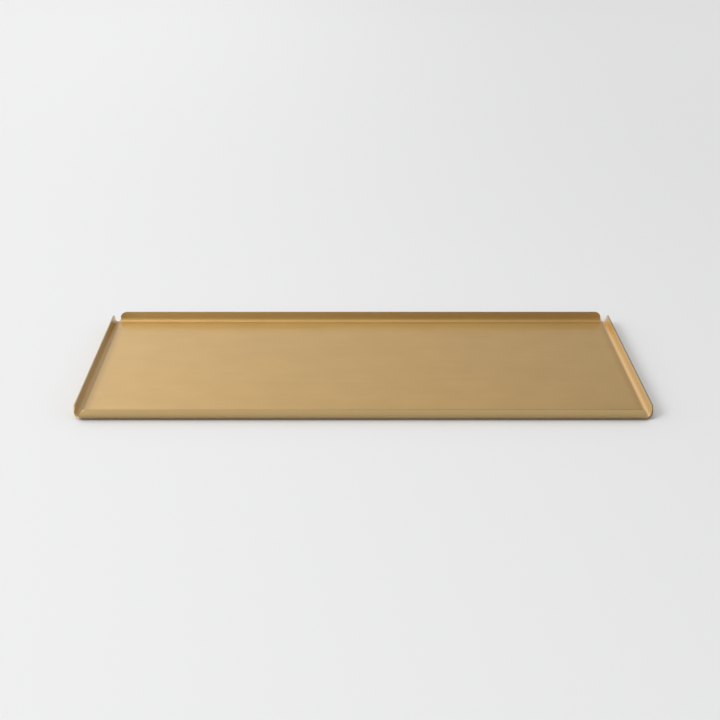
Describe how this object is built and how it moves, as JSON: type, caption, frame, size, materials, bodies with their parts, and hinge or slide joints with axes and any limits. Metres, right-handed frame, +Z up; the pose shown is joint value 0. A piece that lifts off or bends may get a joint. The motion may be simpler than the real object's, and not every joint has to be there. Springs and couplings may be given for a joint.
{
  "type": "rectangular tray",
  "caption": "Shallow rectangular tray folded from one satin brass sheet, with low upturned lips left open at the corners, standing on thin rubber pads.",
  "frame": {"origin": "middle of the tray's footprint, on the surface that the pads stand on", "axes": "+X along the tray's length, +Y across its width from the front lip to the back lip, +Z up out of the tray"},
  "size_m": [0.5, 0.25, 0.0114],
  "materials": {
    "satin_brass": "satin, very fine grain along the length, clear lacquered",
    "pad_rubber": "matte"
  },
  "bodies": {
    "root": {"tray_sheet": "satin_brass", "pad_front_left": "pad_rubber", "pad_front_right": "pad_rubber", "pad_back_left": "pad_rubber", "pad_back_right": "pad_rubber"}
  },
  "joints": []
}
